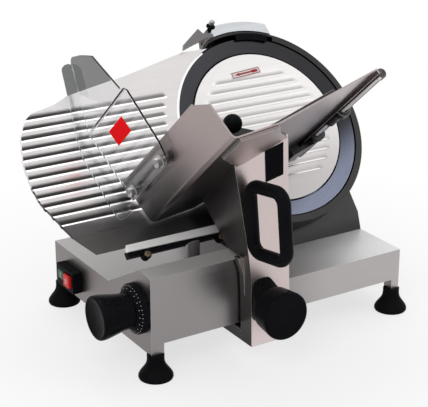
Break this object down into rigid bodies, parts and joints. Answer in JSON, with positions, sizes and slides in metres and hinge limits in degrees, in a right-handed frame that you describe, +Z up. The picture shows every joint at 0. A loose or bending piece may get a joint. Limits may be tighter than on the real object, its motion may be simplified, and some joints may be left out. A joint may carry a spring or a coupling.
{
  "type": "meat slicer",
  "caption": "Electric gravity-feed meat slicer with a leaning round blade, sliding carriage tray, ribbed gauge plate and food pusher.",
  "frame": {"origin": "middle of the whole machine's bounding box, on the surface that the feet stand on", "axes": "+X along the carriage's travel, to the user's right; +Y away from the user; +Z up"},
  "size_m": [0.523, 0.426, 0.3943],
  "materials": {
    "anodised": "brushed anodised",
    "cast_aluminium": "satin cast",
    "bright_aluminium": "polished anodised",
    "chrome": "polished",
    "blade_steel": "ground",
    "dark_steel": "machined",
    "motor_paint": "satin paint",
    "black_plastic": "gloss",
    "green_plastic": "gloss",
    "red_plastic": "gloss",
    "clear_plastic": "clear",
    "rubber": "matte",
    "brass": "satin",
    "abrasive": "rough"
  },
  "bodies": {
    "base": {"base_housing": "anodised", "bottom_plate": "cast_aluminium", "foot_front_left": "rubber", "foot_front_right": "rubber", "foot_back_left": "rubber", "foot_back_right": "rubber", "cable_gland": "black_plastic", "carriage_rail": "chrome", "switch_housing": "black_plastic", "tower_housing": "cast_aluminium", "blade_bearing": "dark_steel", "motor": "motor_paint", "drive_belt": "rubber", "ring_guard": "cast_aluminium", "blade_cover": "bright_aluminium", "cover_tie_rod": "chrome", "tie_rod_knob": "black_plastic", "sharpener_hood": "bright_aluminium", "sharpener_wing": "chrome", "stone_holder": "black_plastic", "gauge_guide_rod": "chrome"},
    "blade_rotor": {"blade": "blade_steel", "blade_shaft": "dark_steel", "blade_screw_1": "chrome", "blade_screw_2": "chrome", "blade_screw_3": "chrome", "blade_pulley": "motor_paint"},
    "motor_rotor": {"motor_pulley": "dark_steel"},
    "sharpener_button": {"sharpener_knob": "black_plastic", "grinding_stone": "abrasive"},
    "gauge": {"gauge_plate": "bright_aluminium", "gauge_bracket": "black_plastic", "gauge_bolt_1": "brass", "gauge_bolt_2": "brass", "gauge_post": "dark_steel", "gauge_slide": "cast_aluminium"},
    "thickness_knob": {"thickness_dial": "black_plastic", "thickness_grip": "black_plastic", "thickness_shaft": "chrome", "thickness_cam": "dark_steel"},
    "start": {"start_button": "green_plastic"},
    "stop": {"stop_button": "red_plastic"},
    "carriage": {"carriage_slider": "cast_aluminium", "carriage_arm": "anodised", "tray": "anodised", "hand_guard": "clear_plastic", "guard_screw_1": "chrome", "guard_screw_2": "chrome", "hand_grip": "black_plastic", "name_plate": "black_plastic", "lock_hub": "black_plastic", "pusher_rod": "chrome", "rod_socket": "cast_aluminium", "rod_cap": "chrome"},
    "lock": {"lock_knob": "black_plastic"},
    "sleeve": {"pusher_sleeve": "dark_steel"},
    "pusher": {"pusher_arm": "cast_aluminium", "pusher_plate": "bright_aluminium", "pusher_ball": "black_plastic"}
  },
  "joints": [
    {"name": "blade_spin", "type": "hinge", "parent": "base", "child": "blade_rotor", "pos_m": [0.11251, 0.05676, 0.2573], "axis": [0, -0.757, 0.6534], "continuous": true},
    {"name": "motor_spin", "type": "hinge", "parent": "base", "child": "motor_rotor", "pos_m": [0.11251, 0.00776, 0.20053], "axis": [0, -0.757, 0.6534], "continuous": true},
    {"name": "sharpener_press", "type": "slide", "parent": "base", "child": "sharpener_button", "axis": [0, 0.4415, -0.8973], "range_m": [0, 0.0025], "stiffness_N_per_m": 300, "springref_m": -0.003},
    {"name": "thickness_turn", "type": "hinge", "parent": "base", "child": "thickness_knob", "pos_m": [-0.16849, -0.06094, 0.0895], "axis": [-1, 0, 0], "range_deg": [0, 300]},
    {"name": "gauge_slide", "type": "slide", "parent": "base", "child": "gauge", "axis": [0, 1, 0], "range_m": [0, 0.0159]},
    {"name": "start_press", "type": "slide", "parent": "base", "child": "start", "axis": [1, 0, 0], "range_m": [0, 0.003], "stiffness_N_per_m": 300, "springref_m": -0.003},
    {"name": "stop_press", "type": "slide", "parent": "base", "child": "stop", "axis": [1, 0, 0], "range_m": [0, 0.003], "stiffness_N_per_m": 300, "springref_m": -0.003},
    {"name": "carriage_travel", "type": "slide", "parent": "base", "child": "carriage", "axis": [1, 0, 0], "range_m": [-0.105, 0.16]},
    {"name": "lock_turn", "type": "hinge", "parent": "carriage", "child": "lock", "pos_m": [-0.01649, -0.145, 0.0856], "axis": [0, -1, 0], "range_deg": [0, 720]},
    {"name": "pusher_travel", "type": "slide", "parent": "carriage", "child": "sleeve", "axis": [0, -0.757, 0.6534], "range_m": [-0.034, 0.09]},
    {"name": "pusher_swing", "type": "hinge", "parent": "sleeve", "child": "pusher", "pos_m": [0.13577, -0.07842, 0.31036], "axis": [0, 0.757, -0.6534], "range_deg": [0, 110]}
  ],
  "couplings": [
    {"joint": "motor_spin", "follows": "blade_spin", "ratio": 3.1111},
    {"joint": "gauge_slide", "follows": "thickness_turn", "m_per_rad": 0.0030366}
  ]
}
